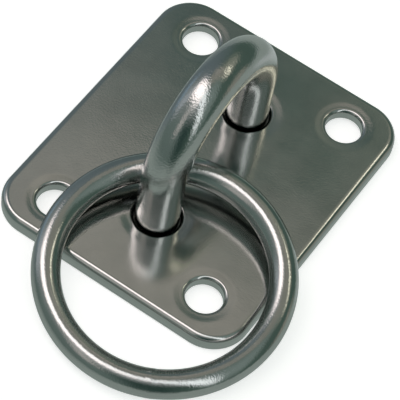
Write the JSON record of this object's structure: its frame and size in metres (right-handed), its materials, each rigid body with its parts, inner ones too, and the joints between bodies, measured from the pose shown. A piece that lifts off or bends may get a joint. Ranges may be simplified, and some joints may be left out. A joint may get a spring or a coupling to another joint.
{
  "type": "pad eye",
  "caption": "Rectangular stamped deck plate with screw holes, a bent round-bar eye welded through it, and a loose round ring hanging in the eye.",
  "frame": {"origin": "centre of the four screw holes, on the plate's underside, which is the deck surface", "axes": "+Z out of the deck through the eye's crown, +Y along the plate's long side and the line of the eye's two legs, +X along the short side; the ring lies towards -Y and +X"},
  "size_m": [0.0556, 0.0765, 0.0309],
  "materials": {
    "plate_steel": "tumble-polished sheet",
    "bar_steel": "polished round bar",
    "weld_steel": "ground weld metal",
    "ring_steel": "polished round wire",
    "ring_weld_steel": "dressed weld, polished over"
  },
  "bodies": {
    "fixed_eye": {"base_plate": "plate_steel", "eye_bow": "bar_steel", "front_leg_weld": "weld_steel", "rear_leg_weld": "weld_steel"},
    "loose_ring": {"ring": "ring_steel", "ring_weld": "ring_weld_steel"}
  },
  "joints": [
    {"name": "ring_swing", "type": "hinge", "parent": "fixed_eye", "child": "loose_ring", "pos_m": [0, -0.00614, 0.00783], "axis": [-0.9057, -0.4239, 0.0029], "range_deg": [0, 190]}
  ]
}
